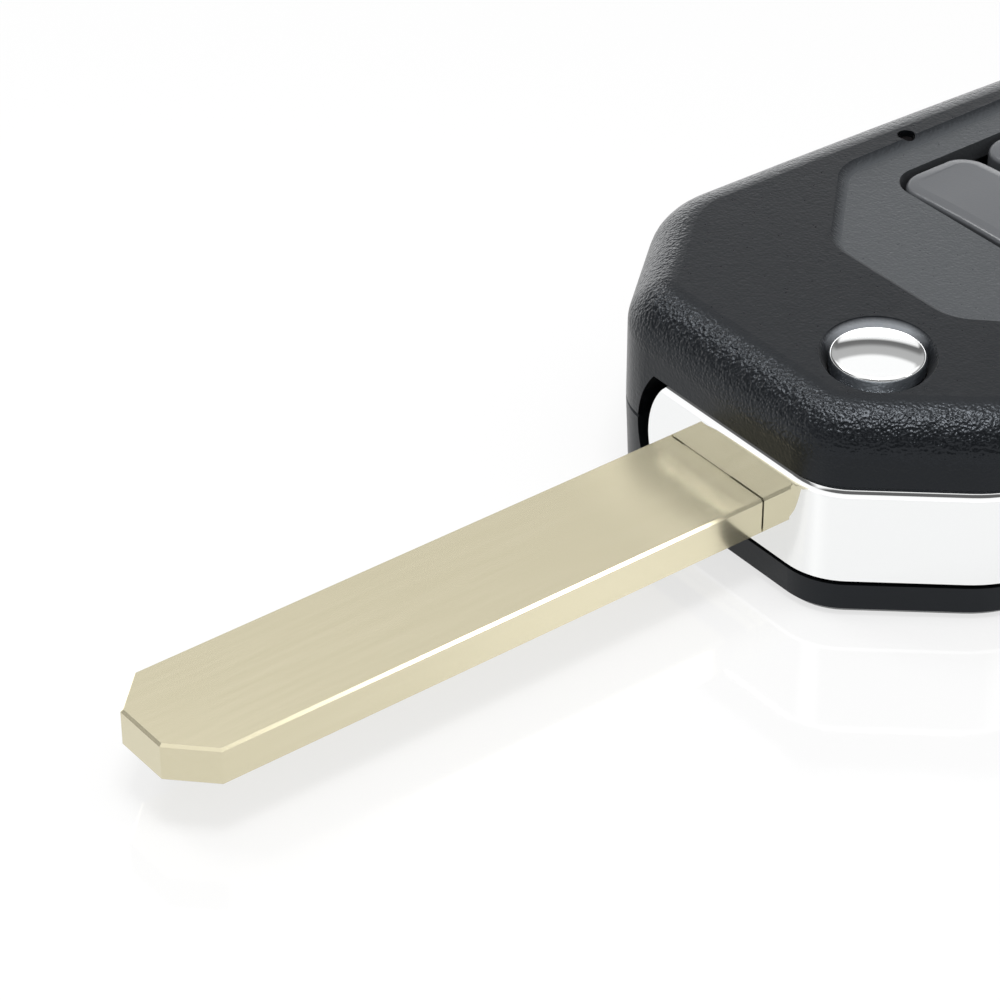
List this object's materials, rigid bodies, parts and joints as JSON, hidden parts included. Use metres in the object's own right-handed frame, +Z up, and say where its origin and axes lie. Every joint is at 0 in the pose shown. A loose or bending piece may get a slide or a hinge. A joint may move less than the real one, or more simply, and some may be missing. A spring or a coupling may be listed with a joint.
{
  "type": "flip key remote shell",
  "caption": "Folding car key shell: an uncut blade on a chromed head flips out of a two-part remote case with keys.",
  "frame": {"origin": "on the case's flat underside, on the axis that the blade head turns about", "axes": "+Z up out of the key side, -X along the open blade to its tip, +X to the tail"},
  "size_m": [0.1111, 0.0368, 0.0154],
  "materials": {
    "grained_shell": "spark-eroded grain on black ABS",
    "satin_shell": "smooth satin black ABS",
    "chromed_zinc": "bright chrome on die-cast zinc",
    "nickel_silver": "satin nickel silver, uncut",
    "spring_steel": "bare spring steel",
    "bright_steel": "ground steel rod",
    "zinc_plated_steel": "zinc plated screw",
    "acetal": "natural acetal",
    "chromed_button": "bright chrome, domed",
    "silicone": "dark grey silicone",
    "tray_plastic": "plain black moulding",
    "smoked_guide": "smoked clear polycarbonate",
    "key_plastic": "fine satin dark grey"
  },
  "bodies": {
    "case": {"upper_shell": "grained_shell", "lower_shell": "satin_shell", "keypad_membrane": "silicone", "board_tray": "tray_plastic", "spring_seat": "acetal", "seat_screw": "zinc_plated_steel", "front_screw": "zinc_plated_steel", "rear_screw": "zinc_plated_steel", "key_ring_bar": "bright_steel", "head_washer": "acetal", "flip_spring": "spring_steel", "indicator_guide": "smoked_guide"},
    "head": {"flip_head": "chromed_zinc", "blade": "nickel_silver", "blade_pin": "spring_steel"},
    "release": {"release_button": "chromed_button", "lock_sleeve": "acetal"},
    "lock_key": {"lock_key": "key_plastic"},
    "unlock_key": {"unlock_key": "key_plastic"},
    "trunk_key": {"trunk_key": "key_plastic"}
  },
  "joints": [
    {"name": "flip_pivot", "type": "hinge", "parent": "case", "child": "head", "pos_m": [0, 0, 0.0064], "axis": [0, 0, 1], "range_deg": [0, 180], "stiffness_Nm_per_rad": 0.01, "springref_deg": -57.3},
    {"name": "release_press", "type": "slide", "parent": "head", "child": "release", "axis": [0, 0, -1], "range_m": [0, 0.0022], "stiffness_N_per_m": 500, "springref_m": -0.002, "deforming": ["flip_spring"]},
    {"name": "lock_key_press", "type": "slide", "parent": "case", "child": "lock_key", "axis": [0, 0, -1], "range_m": [0, 0.0004], "stiffness_N_per_m": 2000, "springref_m": -0.0002},
    {"name": "unlock_key_press", "type": "slide", "parent": "case", "child": "unlock_key", "axis": [0, 0, -1], "range_m": [0, 0.0004], "stiffness_N_per_m": 2000, "springref_m": -0.0002},
    {"name": "trunk_key_press", "type": "slide", "parent": "case", "child": "trunk_key", "axis": [0, 0, -1], "range_m": [0, 0.0004], "stiffness_N_per_m": 2000, "springref_m": -0.0002}
  ]
}
